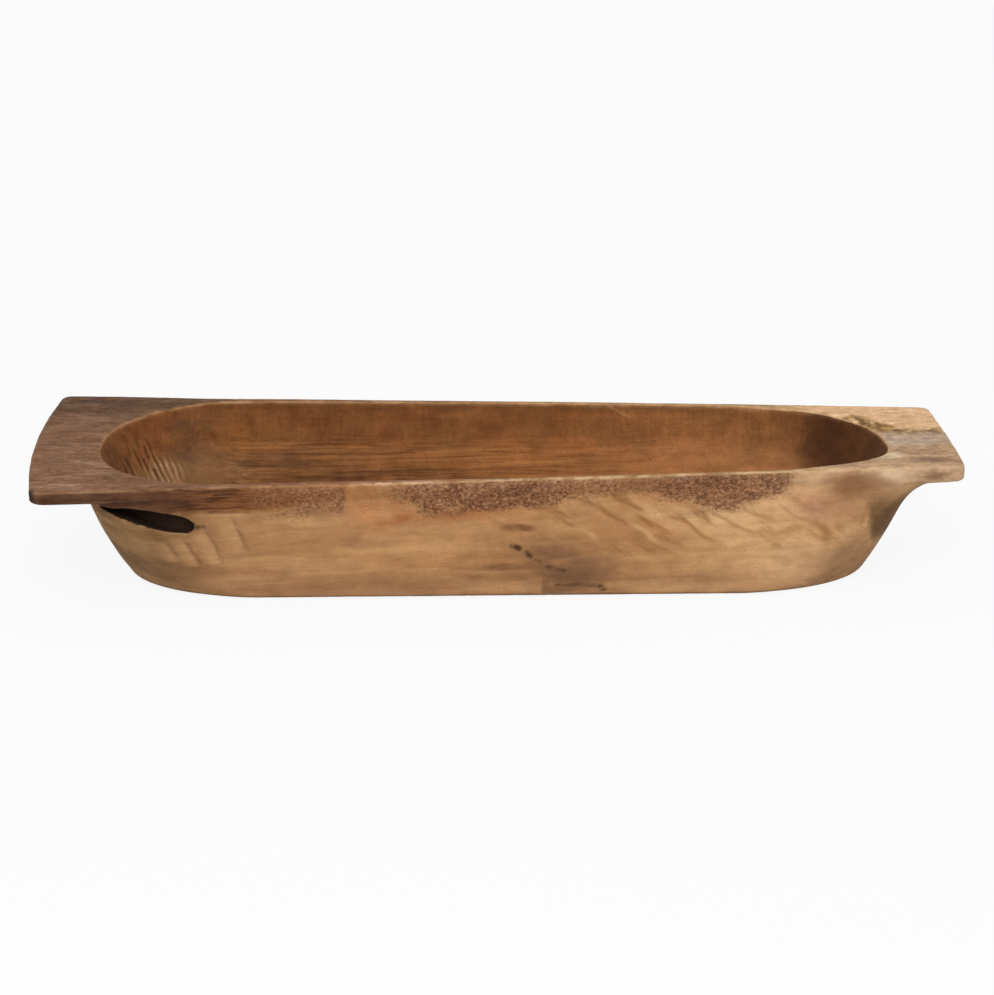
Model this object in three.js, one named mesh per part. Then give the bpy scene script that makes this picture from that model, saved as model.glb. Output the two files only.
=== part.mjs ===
// A dough trough carved from half a log: a long hollow with round ends, thin side walls,
// and a flat handle left at each end. The log was thicker at one end, so the trough narrows.
//
// Millimetres. X runs along the trough with the wide end at -X, Y across it, Z up.
// The origin is the middle of the box that holds the trough, on the surface that it stands on.
import * as THREE from "three";

// Overall sizes. Each end's width is measured where its sides, run on past the rounded corners,
// would meet the end of the trough.
const overallLength = 964;
const overallHeight = 138;
const wideEndWidth = 344;
const narrowEndWidth = 208;
const sideBow = 6; // how far each side stands out beyond a straight line at mid length

// Handles
const wideHandleThickness = 13;
const narrowHandleThickness = 18;
const wideCornerRadius = 20;
const narrowCornerRadius = 10;
const wideEndBow = 13; // how far the end edge is set back at its corners
const narrowEndBow = 2;
const narrowEndSkew = 8; // how much further out the end edge's -Y corner is than its +Y corner
const handleFlare = 7; // how far each side of the wide handle stands out beyond the rim's line
const handleFlareLength = 110;
const edgeRounding = 2.5;

// Rim and hollow
const wideHandleReach = 71; // from the end edge to the tip of the hollow
const narrowHandleReach = 72;
const wideRimWidth = 17; // across the top of the side wall
const narrowRimWidth = 8;
const mouthBow = 8; // sideBow for the mouth's sides
const lipRounding = 1.5;
const wideMouthRound = 138; // length of the round end, along the trough
const narrowMouthRound = 160;
const wideTipShift = 11; // how far the tip of the hollow lies off the middle, towards -Y
const narrowTipShift = 28;
const hollowDepth = 99;
const floorLength = 540;
const floorShift = -10; // along the trough from its middle
const wideFloorWidth = 140;
const narrowFloorWidth = 104;
const floorRound = 90;
const wallLean = 0.3; // share of the wall's run from rim to floor that is straight

// Outside of the hull
const wideHandleOverhang = 48; // from the end edge back to the hull, under the handle
const narrowHandleOverhang = 6;
const wideCoveReach = 6; // how far the hull curves out along the handle's underside
const narrowCoveReach = 40;
const coveHeight = 54;
const wideRimOverhang = 5; // from the rim's edge in to the hull wall
const narrowRimOverhang = 1;
const wideHullRound = 50;
const narrowHullRound = 40;
const baseLength = 784;
const baseShift = 4;
const baseWidth = 224;
const baseRound = 140;
const baseRounding = 6;
const wallSwell = 1.35; // 1 is a straight wall from base to rim, more bulges it
const endSwell = 1.7;

// How finely the outlines are cut
const edgeSteps = 4;
const cornerSteps = 12;
const sideSteps = 24;
const hullSteps = 7;
const coveSteps = 5;
const roundingSteps = 2;
const hollowSteps = 10;

const woodColour = 0x9c6d44;
const woodRoughness = 0.75;

const halfLength = overallLength / 2;
const roundShare = 0.95; // the share of a round end's width that is curved
const quarterTurn = Math.PI / 2;

const mix = (a, b, t) => a + (b - a) * t;

// How far x lies from the wide end to the narrow end, from 0 to 1.
const shareAt = (x) => (x + halfLength) / overallLength;

// An outline is a long shape seen from above that narrows from end to end, with elliptical
// corners. bow is how far its sides stand out at mid length, and flare how far they stand out
// at the wide handle. Each end has:
//   x       where its tip lies
//   half    half the width that its sides would have at the very end of the trough
//   along   how far its corners reach back along the trough
//   curved  the share of its half width that its corners take up
//   bow     how far its edge stands out in the middle
//   shift   how far its tip lies off the middle, towards -Y
//   skew    how much further out its -Y corner is than its +Y corner
function endOf(x, half, along, curved, { bow = 0, shift = 0, skew = 0 } = {}) {
  return { x, half, along, curved, bow, shift, skew };
}

// The outline that lies a share alongShare of the way from a to b at its ends, and acrossShare
// at its sides.
function between(a, b, alongShare, acrossShare) {
  const blendEnd = (from, to) => {
    const blend = {};
    for (const key of Object.keys(from)) {
      const isAlong = key === "x" || key === "along";
      blend[key] = mix(from[key], to[key], isAlong ? alongShare : acrossShare);
    }
    return blend;
  };
  return {
    wide: blendEnd(a.wide, b.wide),
    narrow: blendEnd(a.narrow, b.narrow),
    bow: mix(a.bow, b.bow, acrossShare),
    flare: mix(a.flare, b.flare, acrossShare),
  };
}

// Half the width between an outline's sides at x.
function halfWidthAt(shape, x) {
  const straight = mix(shape.wide.half, shape.narrow.half, shareAt(x));
  const flareStart = wideHandleReach + handleFlareLength - halfLength;
  const flareShare = THREE.MathUtils.smoothstep(flareStart - x, 0, handleFlareLength);
  return straight + shape.bow * (1 - (x / halfLength) ** 2) + shape.flare * flareShare;
}

// One end's points on the +Y side, from its tip to where its corner meets the side.
// inward is +1 at the wide end and -1 at the narrow end.
function endPoints(shape, end, inward) {
  const cornerX = end.x + inward * end.along;
  const side = halfWidthAt(shape, cornerX);
  const edge = side * (1 - end.curved);
  const edgeX = (y) => end.x + inward * end.bow * (y / side) ** 2;
  const points = [];
  for (let i = 0; i < edgeSteps; i++) {
    const y = (edge * i) / edgeSteps;
    points.push([edgeX(y), y]);
  }
  for (let i = 0; i <= cornerSteps; i++) {
    const turn = quarterTurn * (i / cornerSteps);
    const x = mix(cornerX, edgeX(edge), Math.cos(turn));
    const widen = mix(1, halfWidthAt(shape, x) / side, Math.sin(turn));
    points.push([x, mix(edge, side, Math.sin(turn)) * widen]);
  }
  return points;
}

// Moves a point of one of the ends by the end's shift and skew.
function shifted(shape, x, y) {
  for (const [end, inward] of [[shape.wide, 1], [shape.narrow, -1]]) {
    const cornerX = end.x + inward * end.along;
    if (inward * (cornerX - x) >= 0) {
      const acrossShare = y / halfWidthAt(shape, cornerX);
      return [x - (end.skew / 2) * acrossShare, y - end.shift * (1 - acrossShare ** 2)];
    }
  }
  return [x, y];
}

// The whole outline, from the narrow tip round by +Y to the wide tip and back by -Y.
// heightAt gives the height of the point at x.
function ring(shape, heightAt) {
  const narrowEnd = endPoints(shape, shape.narrow, -1);
  const wideEnd = endPoints(shape, shape.wide, 1).reverse();
  const from = narrowEnd.at(-1)[0];
  const to = wideEnd[0][0];
  const side = [];
  for (let i = 1; i < sideSteps; i++) {
    const x = mix(from, to, i / sideSteps);
    side.push([x, halfWidthAt(shape, x)]);
  }
  const farHalf = [...narrowEnd, ...side, ...wideEnd];
  const nearHalf = farHalf.slice(1, -1).reverse().map(([x, y]) => [x, -y]);
  return [...farHalf, ...nearHalf].map(([x, y]) => {
    const [movedX, movedY] = shifted(shape, x, y);
    return new THREE.Vector3(movedX, movedY, heightAt(movedX));
  });
}

// The underside of the handles, and of the rim between them.
function undersideAt(x) {
  return overallHeight - mix(wideHandleThickness, narrowHandleThickness, shareAt(x));
}

// Half the width of the rim's outer line at the wide end, where the handle flares beyond it.
const wideRimHalf = wideEndWidth / 2 - handleFlare;
const narrowRimHalf = narrowEndWidth / 2;

// How far the narrow end's leading corner lies beyond the middle of its edge.
const edgeShare = 1 - narrowCornerRadius / narrowRimHalf;
const cornerLead = (narrowEndSkew / 2) * edgeShare - narrowEndBow * edgeShare ** 2;

// The flat that the trough rests on, drawn in by inset all round.
function baseOutline(inset) {
  const reach = baseLength / 2 - inset;
  const half = baseWidth / 2 - inset;
  const end = (x) => endOf(x, half, baseRound, roundShare);
  return { wide: end(baseShift - reach), narrow: end(baseShift + reach), bow: 0, flare: 0 };
}

// The hull at the height of the handles' underside, without the coves.
function hullTopOutline() {
  const wideHalf = wideRimHalf - wideRimOverhang;
  const narrowHalf = narrowRimHalf - narrowRimOverhang;
  const wideX = wideHandleOverhang + wideCoveReach - halfLength;
  const narrowX = halfLength - cornerLead - narrowHandleOverhang - narrowCoveReach;
  const narrowExtras = { skew: narrowEndSkew };
  return {
    wide: endOf(wideX, wideHalf, wideHullRound, roundShare),
    narrow: endOf(narrowX, narrowHalf, narrowHullRound, roundShare, narrowExtras),
    bow: sideBow,
    flare: 0,
  };
}

// The outer edge of the handles and the rim, drawn in at the ends by endInset and at the sides
// by wideInset and narrowInset.
function handleOutline(endInset, wideInset = endInset, narrowInset = endInset) {
  const wideHalf = wideRimHalf - wideInset;
  const narrowHalf = narrowRimHalf - narrowInset;
  const wideX = endInset - halfLength;
  const narrowX = halfLength - endInset - cornerLead;
  const wideCurved = wideCornerRadius / wideHalf;
  const narrowCurved = narrowCornerRadius / narrowHalf;
  const wideExtras = { bow: wideEndBow };
  const narrowExtras = { bow: narrowEndBow, skew: narrowEndSkew };
  return {
    wide: endOf(wideX, wideHalf, wideCornerRadius, wideCurved, wideExtras),
    narrow: endOf(narrowX, narrowHalf, narrowCornerRadius, narrowCurved, narrowExtras),
    bow: sideBow,
    flare: handleFlare,
  };
}

// The mouth of the hollow, opened out by grow all round.
function mouthOutline(grow) {
  const wideHalf = wideRimHalf - wideRimWidth + grow;
  const narrowHalf = narrowRimHalf - narrowRimWidth + grow;
  const wideX = wideHandleReach - grow - halfLength;
  const narrowX = halfLength - narrowHandleReach + grow;
  const wideExtras = { shift: wideTipShift };
  const narrowExtras = { shift: narrowTipShift };
  return {
    wide: endOf(wideX, wideHalf, wideMouthRound, roundShare, wideExtras),
    narrow: endOf(narrowX, narrowHalf, narrowMouthRound, roundShare, narrowExtras),
    bow: mouthBow,
    flare: 0,
  };
}

// The flat of the hollow's floor.
function floorOutline() {
  const end = (x, half) => endOf(x, half, floorRound, roundShare);
  return {
    wide: end(floorShift - floorLength / 2, wideFloorWidth / 2),
    narrow: end(floorShift + floorLength / 2, narrowFloorWidth / 2),
    bow: 0,
    flare: 0,
  };
}

// Rings from the base up the hull's outside, and out along the coves to the handles' underside.
function hullRings() {
  const rings = [];
  for (let i = 0; i <= roundingSteps; i++) {
    const turn = quarterTurn * (i / roundingSteps);
    const inset = baseRounding * (1 - Math.sin(turn));
    rings.push(ring(baseOutline(inset), () => baseRounding * (1 - Math.cos(turn))));
  }
  const base = baseOutline(0);
  const top = hullTopOutline();
  const wallHeight = undersideAt(-halfLength) - baseRounding;
  const coveStart = wallHeight - coveHeight;
  const wallOutline = (rise) => {
    const left = 1 - rise / wallHeight;
    return between(base, top, 1 - left ** endSwell, 1 - left ** wallSwell);
  };
  const tilt = (x) => undersideAt(x) - undersideAt(-halfLength);
  for (let i = 1; i <= hullSteps; i++) {
    const rise = (coveStart * i) / hullSteps;
    rings.push(ring(wallOutline(rise), (x) => baseRounding + rise + (tilt(x) * i) / hullSteps));
  }
  for (let i = 1; i <= coveSteps; i++) {
    const turn = quarterTurn * (i / coveSteps);
    const rise = coveStart + coveHeight * Math.sin(turn);
    const shape = wallOutline(rise);
    shape.wide.x -= wideCoveReach * (1 - Math.cos(turn));
    shape.narrow.x += narrowCoveReach * (1 - Math.cos(turn));
    rings.push(ring(shape, (x) => baseRounding + rise + tilt(x)));
  }
  return rings;
}

// Rings round the edge of the handles and the rim, up to the flat top.
function edgeRings() {
  const lower = handleOutline(edgeRounding, wideRimOverhang / 2, narrowRimOverhang / 2);
  const rings = [ring(lower, undersideAt)];
  rings.push(ring(handleOutline(0), (x) => undersideAt(x) + edgeRounding));
  for (let i = 0; i <= roundingSteps; i++) {
    const turn = quarterTurn * (i / roundingSteps);
    const z = overallHeight - edgeRounding * (1 - Math.sin(turn));
    rings.push(ring(handleOutline(edgeRounding * (1 - Math.cos(turn))), () => z));
  }
  return rings;
}

// Rings from the mouth's lip down the hollow's wall to its floor.
function hollowRings() {
  const rings = [ring(mouthOutline(lipRounding), () => overallHeight)];
  const mouth = mouthOutline(0);
  const floor = floorOutline();
  for (let i = 0; i <= hollowSteps; i++) {
    const turn = quarterTurn * (i / hollowSteps);
    const run = mix(1 - Math.cos(turn), Math.sin(turn), wallLean);
    const z = overallHeight - mix(lipRounding, hollowDepth, Math.sin(turn));
    rings.push(ring(between(mouth, floor, run, run), () => z));
  }
  return rings;
}

// The corners, by number, of the faces that fill one ring flat. Each point is joined to the one
// across the trough from it, and each tip is its own partner. The faces look up, or down.
function flatFaces(start, count, looksUp) {
  const faces = [];
  const near = (i) => start + ((count - i) % count);
  for (let i = 0; i < count / 2; i++) {
    const corners = [...new Set([start + i, start + i + 1, near(i + 1), near(i)])];
    if (!looksUp) {
      corners.reverse();
    }
    for (let k = 2; k < corners.length; k++) {
      faces.push(corners[0], corners[k - 1], corners[k]);
    }
  }
  return faces;
}

// Faces between two rings whose points go round together.
function wallFaces(low, high, count) {
  const faces = [];
  for (let i = 0; i < count; i++) {
    const next = (i + 1) % count;
    faces.push(low + i, low + next, high + next);
    faces.push(low + i, high + next, high + i);
  }
  return faces;
}

// Faces of the flat top, between the edge ring and the mouth ring, whose points don't go round
// together. Each step goes on along the ring that leaves the shorter way across.
function topFaces(edgeRing, mouthRing, edgeStart, mouthStart) {
  const faces = [];
  const count = edgeRing.length;
  const edgeAt = (i) => edgeRing[i % count];
  const mouthAt = (i) => mouthRing[i % count];
  let i = 0;
  let j = 0;
  while (i < count || j < count) {
    const alongEdge = edgeAt(i + 1).distanceTo(mouthAt(j));
    const alongMouth = mouthAt(j + 1).distanceTo(edgeAt(i));
    const from = [edgeStart + (i % count), mouthStart + (j % count)];
    if (j === count || (i < count && alongEdge < alongMouth)) {
      i += 1;
      faces.push(from[0], edgeStart + (i % count), from[1]);
    } else {
      j += 1;
      faces.push(from[0], mouthStart + (j % count), from[1]);
    }
  }
  return faces;
}

// Closes the rings of the outside and of the hollow into one skin.
function skin(outside, hollow) {
  const rings = [...outside, ...hollow];
  const count = rings[0].length;
  const faces = flatFaces(0, count, false);
  for (let level = 1; level < rings.length; level++) {
    const low = (level - 1) * count;
    const high = level * count;
    if (level === outside.length) {
      faces.push(...topFaces(outside.at(-1), hollow[0], low, high));
    } else {
      faces.push(...wallFaces(low, high, count));
    }
  }
  faces.push(...flatFaces((rings.length - 1) * count, count, true));
  const geometry = new THREE.BufferGeometry().setFromPoints(rings.flat());
  geometry.setIndex(faces);
  geometry.computeVertexNormals();
  return geometry;
}

const wood = new THREE.MeshStandardMaterial({
  color: woodColour,
  roughness: woodRoughness,
  metalness: 0,
});

const trough = new THREE.Mesh(skin([...hullRings(), ...edgeRings()], hollowRings()), wood);
trough.name = "trough_body";

const part = new THREE.Group();
part.add(trough);

export default part;
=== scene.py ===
"""Wooden dough trough: one carved body in worn wood, on a pale studio floor."""

import itertools
import math

import bmesh
import bpy
import numpy as np
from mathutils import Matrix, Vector
from mathutils.bvhtree import BVHTree


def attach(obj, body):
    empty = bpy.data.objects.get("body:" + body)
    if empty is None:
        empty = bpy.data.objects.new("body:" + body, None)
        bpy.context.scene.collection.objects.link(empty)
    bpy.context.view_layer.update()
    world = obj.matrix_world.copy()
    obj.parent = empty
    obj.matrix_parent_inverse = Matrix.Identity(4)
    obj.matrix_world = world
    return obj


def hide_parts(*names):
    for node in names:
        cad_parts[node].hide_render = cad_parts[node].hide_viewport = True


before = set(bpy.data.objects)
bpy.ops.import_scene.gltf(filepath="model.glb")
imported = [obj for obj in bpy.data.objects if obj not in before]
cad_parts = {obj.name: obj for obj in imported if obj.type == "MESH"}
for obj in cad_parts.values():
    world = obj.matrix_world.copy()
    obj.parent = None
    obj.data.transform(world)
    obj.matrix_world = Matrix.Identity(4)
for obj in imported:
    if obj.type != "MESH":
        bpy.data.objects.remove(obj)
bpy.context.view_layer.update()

# All lengths below are millimetres in the CAD frame: x along the trough with the wide end at -x,
# y across it with the near side at -y, z up from the floor. MM turns them into Blender's metres.
MM = 0.001

# Camera
camera_aim = (3.0, 0.5, 72.0)
camera_distance = 3400.0
camera_elevation = 18.5
camera_turn = -1.5
pixels_per_mm = 0.945
frame_height_pixels = 995
sensor_height = 36.0

# Mesh
fine_step = 1.8
rim_top = 138.0
hollow_axis_start = -250.0
hollow_axis_end = 200.0
hollow_axis_height = 200.0


# Helpers for places on the surface

def blend(value, start, end):
    """0 at start and 1 at end, with a soft step between them."""
    share = np.clip((value - start) / (end - start), 0, 1)
    return share * share * (3 - 2 * share)


def noise(points, seed):
    """Smooth noise from -1 to 1 that changes over one unit of points."""
    low = np.floor(points).astype(np.int64)
    part = points - low
    part = part * part * (3 - 2 * part)
    total = np.zeros(len(points))
    for corner in itertools.product((0, 1), repeat=3):
        at = low + np.array(corner)
        mixed = at[:, 0] * 374761393 + at[:, 1] * 668265263 + at[:, 2] * 974634777 + seed * 1274126177
        mixed = (mixed ^ (mixed >> 13)) * 1103515245
        value = ((mixed ^ (mixed >> 16)) & 0xFFFF) / 32767.5 - 1
        weight = np.prod(np.where(np.array(corner) == 1, part, 1 - part), axis=1)
        total += value * weight
    return total


def rough_noise(points, seed, layers=3):
    """Noise with finer layers on top, each half as long and half as strong."""
    total = np.zeros(len(points))
    for layer in range(layers):
        total += noise(points * 2 ** layer, seed + layer) / 2 ** layer
    return total


def spot(across, up, centre, size, turn=0.0, soft=0.5):
    """1 inside an ellipse with these half sizes, fading to 0 outside it."""
    angle = math.radians(turn)
    a = (across - centre[0]) * math.cos(angle) + (up - centre[1]) * math.sin(angle)
    b = (up - centre[1]) * math.cos(angle) - (across - centre[0]) * math.sin(angle)
    return 1 - blend(np.hypot(a / size[0], b / size[1]), 1 - soft, 1 + soft)


def to_path(across, up, path):
    """How far each point is from the line through the points of path."""
    nearest = np.full(len(across), np.inf)
    for (x0, y0), (x1, y1) in zip(path, path[1:]):
        dx, dy = x1 - x0, y1 - y0
        share = np.clip(((across - x0) * dx + (up - y0) * dy) / (dx * dx + dy * dy), 0, 1)
        nearest = np.minimum(nearest, np.hypot(across - x0 - share * dx, up - y0 - share * dy))
    return nearest


def stroke(across, up, path, width):
    """1 on a line through the points of path, fading to 0 at its width."""
    return 1 - blend(to_path(across, up, path), width * 0.3, width)


# The wood's mesh

def cad_copy():
    """The CAD body as a smooth closed mesh of its own."""
    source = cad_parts["trough_body"]
    shape = bmesh.new()
    shape.from_mesh(source.data)
    bmesh.ops.remove_doubles(shape, verts=shape.verts, dist=0.01 * MM)
    bmesh.ops.join_triangles(
        shape,
        faces=shape.faces,
        angle_face_threshold=math.radians(25),
        angle_shape_threshold=math.radians(60),
    )
    mesh = bpy.data.meshes.new("carved_trough")
    shape.to_mesh(mesh)
    shape.free()
    piece = bpy.data.objects.new("carved_trough", mesh)
    bpy.context.scene.collection.objects.link(piece)
    return piece


# The undercut under the wide handle: outline in x and z, and how far in y it goes
pocket_outline = [
    (-424, 114), (-402, 117), (-376, 117), (-354, 113), (-334, 108), (-314, 104), (-303, 99),
    (-297, 93), (-299, 85), (-307, 81), (-326, 83), (-346, 88), (-365, 96), (-382, 103), (-402, 110),
]
pocket_front = -200.0
pocket_back_left = -118.0
pocket_back_right = -137.0
pocket_narrowing = 0.8


def pocket_cutter():
    """A wedge-shaped solid whose space is cut out of the wall."""
    shape = bmesh.new()
    outline = np.array(pocket_outline, float)
    middle = outline.mean(axis=0)
    left, right = outline[:, 0].min(), outline[:, 0].max()
    front, back = [], []
    for x, z in outline:
        front.append(shape.verts.new((x * MM, pocket_front * MM, z * MM)))
        bx = middle[0] + (x - middle[0]) * pocket_narrowing
        bz = middle[1] + (z - middle[1]) * pocket_narrowing
        share = (x - left) / (right - left)
        depth = pocket_back_left + (pocket_back_right - pocket_back_left) * share
        back.append(shape.verts.new((bx * MM, depth * MM, bz * MM)))
    shape.faces.new(front)
    shape.faces.new(back[::-1])
    for i in range(len(front)):
        j = (i + 1) % len(front)
        shape.faces.new((front[j], front[i], back[i], back[j]))
    bmesh.ops.recalc_face_normals(shape, faces=shape.faces)
    mesh = bpy.data.meshes.new("pocket_cutter")
    shape.to_mesh(mesh)
    shape.free()
    cutter = bpy.data.objects.new("pocket_cutter", mesh)
    bpy.context.scene.collection.objects.link(cutter)
    return cutter


def apply_modifiers(piece):
    """Replaces a piece's mesh by what its modifiers make of it."""
    bpy.context.view_layer.update()
    seen = piece.evaluated_get(bpy.context.evaluated_depsgraph_get())
    mesh = bpy.data.meshes.new_from_object(seen)
    piece.modifiers.clear()
    piece.data = mesh


def fine_mesh():
    """The body with its pocket cut, in an even mesh that is fine enough to carve."""
    piece = cad_copy()
    rounder = piece.modifiers.new("rounder", "SUBSURF")
    rounder.levels = 2
    rounder.render_levels = 2
    cutter = pocket_cutter()
    cut = piece.modifiers.new("cut", "BOOLEAN")
    cut.operation = "DIFFERENCE"
    cut.object = cutter
    even = piece.modifiers.new("even", "REMESH")
    even.mode = "VOXEL"
    even.voxel_size = fine_step * MM
    even.use_smooth_shade = True
    apply_modifiers(piece)
    bpy.data.objects.remove(cutter)
    return piece


def read_points(mesh):
    """The mesh's points in millimetres."""
    flat = np.empty(len(mesh.vertices) * 3)
    mesh.vertices.foreach_get("co", flat)
    return flat.reshape(-1, 3) / MM


def read_normals(mesh):
    """The directions that the mesh's points face."""
    flat = np.empty(len(mesh.vertices) * 3)
    mesh.vertices.foreach_get("normal", flat)
    return flat.reshape(-1, 3)


def read_edges(mesh):
    """The mesh's edges as pairs of point numbers."""
    flat = np.empty(len(mesh.edges) * 2, dtype=np.int64)
    mesh.edges.foreach_get("vertices", flat)
    return flat.reshape(-1, 2)


def write_points(mesh, points):
    """Moves the mesh's points to these places in millimetres."""
    mesh.vertices.foreach_set("co", (points * MM).ravel())
    mesh.update()


def relaxed(values, edges, times):
    """Each point's values moved towards those of its neighbours, several times."""
    size = len(values)
    count = np.bincount(edges.ravel(), minlength=size)
    for _ in range(times):
        total = np.zeros_like(values)
        for column in range(values.shape[1]):
            own = values[:, column]
            total[:, column] = np.bincount(edges[:, 0], own[edges[:, 1]], size)
            total[:, column] += np.bincount(edges[:, 1], own[edges[:, 0]], size)
        values = (values + total / count[:, None]) / 2
    return values


def bulge(points, normals, edges, times):
    """How far each point stands out of the surface round it, in millimetres."""
    return ((points - relaxed(points, edges, times)) * normals).sum(axis=1)


def inside_share(points, normals):
    """1 where a point faces the hollow's middle, 0 where it faces away."""
    middle = np.column_stack([
        np.clip(points[:, 0], hollow_axis_start, hollow_axis_end),
        np.zeros(len(points)),
        np.full(len(points), hollow_axis_height),
    ])
    to_middle = middle - points
    to_middle /= np.linalg.norm(to_middle, axis=1)[:, None]
    facing = (to_middle * normals).sum(axis=1)
    return blend(facing, -0.1, 0.15)


# Rounds of broad smoothing: the hull's lower corners at both ends, and the join of rim and wall
corner_smoothing = 120
join_smoothing = 60

# How far the mouth's far and near edges at the narrow end lie towards the far side
far_mouth_shift = 12.0
near_mouth_shift = 4.0


def eased(points, edges, share, times):
    """Moves points to the middle of their neighbours, as far as each one's share allows."""
    for _ in range(times):
        points = points + (relaxed(points, edges, 1) - points) * share[:, None]
    return points


def pocket_share():
    """1 on the walls of the pocket, which lie well below the CAD body's own surface."""
    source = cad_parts["trough_body"]
    body = BVHTree.FromObject(source, bpy.context.evaluated_depsgraph_get())
    deep = np.zeros(len(points))
    outline = np.array(pocket_outline)
    margin = 4
    beside = (x > outline[:, 0].min() - margin) & (x < outline[:, 0].max() + margin)
    level = (z > outline[:, 1].min() - margin) & (z < outline[:, 1].max() + margin)
    for i in np.flatnonzero(beside & level & (y < pocket_back_left + margin)):
        deep[i] = body.find_nearest(Vector(points[i]) * MM)[3] / MM
    return blend(deep, 1.2, 3.0)


def mouth_shift():
    """How far the mouth's edge at the narrow end lies towards the far side, in millimetres."""
    far = blend(x, 280, 365) * blend(x, 430, 402) * blend(y, -25, 25) * blend(y, 106, 84)
    near = blend(x, 270, 330) * blend(x, 420, 385) * blend(y, -45, -75) * blend(y, -118, -104)
    return (far_mouth_shift * far + near_mouth_shift * near) * blend(z, 50, 115) * (1 - is_outside)


trough = fine_mesh()
mesh = trough.data
edges = read_edges(mesh)
points = relaxed(read_points(mesh), edges, 4)
write_points(mesh, points)
normals = read_normals(mesh)
x, y, z = points.T

in_pocket = pocket_share()
is_top = blend(z, rim_top - 5, rim_top - 1.5) * blend(normals[:, 2], 0.6, 0.9)
is_inside = inside_share(points, normals) * (1 - is_top) * (1 - in_pocket)
is_outside = (1 - is_inside) * (1 - is_top)
is_near = blend(normals[:, 1], 0.1, -0.3)

lower_corners = is_outside * blend(z, -1, 7) * blend(z, 75, 45) * blend(np.abs(x), 250, 310)
points = eased(points, edges, lower_corners, corner_smoothing)
points[:, 1] += mouth_shift()
rim_height = blend(z, 106, 114) * blend(z, 133, 128)
rim_join = is_outside * rim_height * blend(x, -300, -220) * blend(x, 400, 360)
points = eased(points, edges, rim_join, join_smoothing)
write_points(mesh, points)
normals = read_normals(mesh)
x, y, z = points.T


# Carving

# Chisel cuts on the near wall by the pocket: x of the right edge at its top and bottom, z of its top
# and bottom, and the cut's width. Each cut is deepest at its right edge, where a step is left.
chisel_cuts = [
    (-271, -252, 112, 61, 28),
    (-298, -278, 98, 47, 25),
    (-320, -301, 84, 43, 22),
    (-337, -323, 80, 48, 18),
]
chisel_depth = 2.6
chisel_corner = 7.0

# How far the undersides of the two handles and the wide end's wall stand out
wide_handle_swell = 1.8
narrow_handle_swell = 1.2
wide_end_swell = 1.4

# Slow adze waves, small chips in the edges and the bark's own pits: how deep each goes
wave_middle = 0.6
wave_swing = 0.7
chip_depth = 0.8
bark_depth = 0.5

# Bark left below the near rim: x, the height it reaches down to, and how much of it there is
bark_places = [
    (-264, 116, 0.0), (-244, 106, 0.4), (-190, 102, 0.5), (-156, 99, 0.5), (-151, 106, 0.1),
    (-115, 114, 0.25), (-80, 106, 0.7), (0, 101, 0.9), (30, 102, 0.9), (60, 106, 0.75), (80, 114, 0.5),
    (150, 117, 0.5), (170, 112, 0.65), (200, 102, 0.75), (235, 97, 0.8), (262, 106, 0.85),
    (296, 118, 0.75), (312, 125, 0.0),
]
bark_top = 136.0
bark_fade = 11.0

# Gouge cuts side by side in the wide end of the hollow: from cut to cut, depth, lean and place.
# Places in the hollow are x and the height at which the camera sees a point.
gouge_step = 5.1
gouge_depth = 1.0
gouge_lean = 65.0
dark_gouges = ((-374, 106), (20, 26))
pale_gouges = ((-350, 98), (18, 14))


def seen_height():
    """How high up the camera sees each point, in millimetres."""
    rise = math.radians(camera_elevation)
    return z * math.cos(rise) + y * math.sin(rise)


def hand_made():
    """Slow waves left by the adze on every face but the one it stands on."""
    waves = noise(points / (90, 45, 30), 11) * 0.6 + noise(points / (35, 22, 16), 12) * 0.35
    depth = wave_middle + waves * wave_swing
    standing = 1 - blend(z, 1, 14)
    return np.clip(depth, 0, None) * (1 - standing) * (1 - 0.4 * is_top)


def chisel_marks():
    """Each cut's depth, and 1 along the steps that the cuts leave at their right and lower edges."""
    depth = np.zeros(len(points))
    steps = np.zeros(len(points))
    for top_x, bottom_x, top, bottom, width in chisel_cuts:
        wander = 1.2 * noise(points / 9, 33)
        left = np.interp(z, [bottom, top], [bottom_x, top_x]) - x + wander
        above = z - bottom + wander
        corner = chisel_corner - np.hypot(chisel_corner - left, chisel_corner - above)
        within = np.where((left < chisel_corner) & (above < chisel_corner), corner, np.minimum(left, above))
        height = top - bottom
        fade = (1 - blend(left, width * 0.2, width)) * (1 - blend(above, height * 0.6, height))
        depth = np.maximum(depth, chisel_depth * blend(within, -1.0, 3.0) * fade)
        line = (1 - blend(np.abs(within), 0.4, 3.4)) * (1 - blend(above, height * 0.5, height))
        steps = np.maximum(steps, line * (1 - blend(left, width * 0.1, width * 0.5)))
    return depth * is_near * is_outside, steps * is_near * is_outside


def handle_swell():
    """How far the undersides of the handles stand out, in millimetres, to keep their edges full."""
    swell = np.interp(x, [-400, -340, 420, 450], [wide_handle_swell, 0.0, 0.0, narrow_handle_swell])
    return swell * blend(normals[:, 2], -0.3, -0.9) * blend(z, 105, 112)


def end_swell():
    """How far the wide end's wall stands out, in millimetres."""
    facing = blend(-normals[:, 0], 0.1, 0.7)
    height = blend(z, 112, 96) * blend(z, 4, 30)
    return wide_end_swell * facing * blend(x, -250, -320) * height * is_outside


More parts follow.
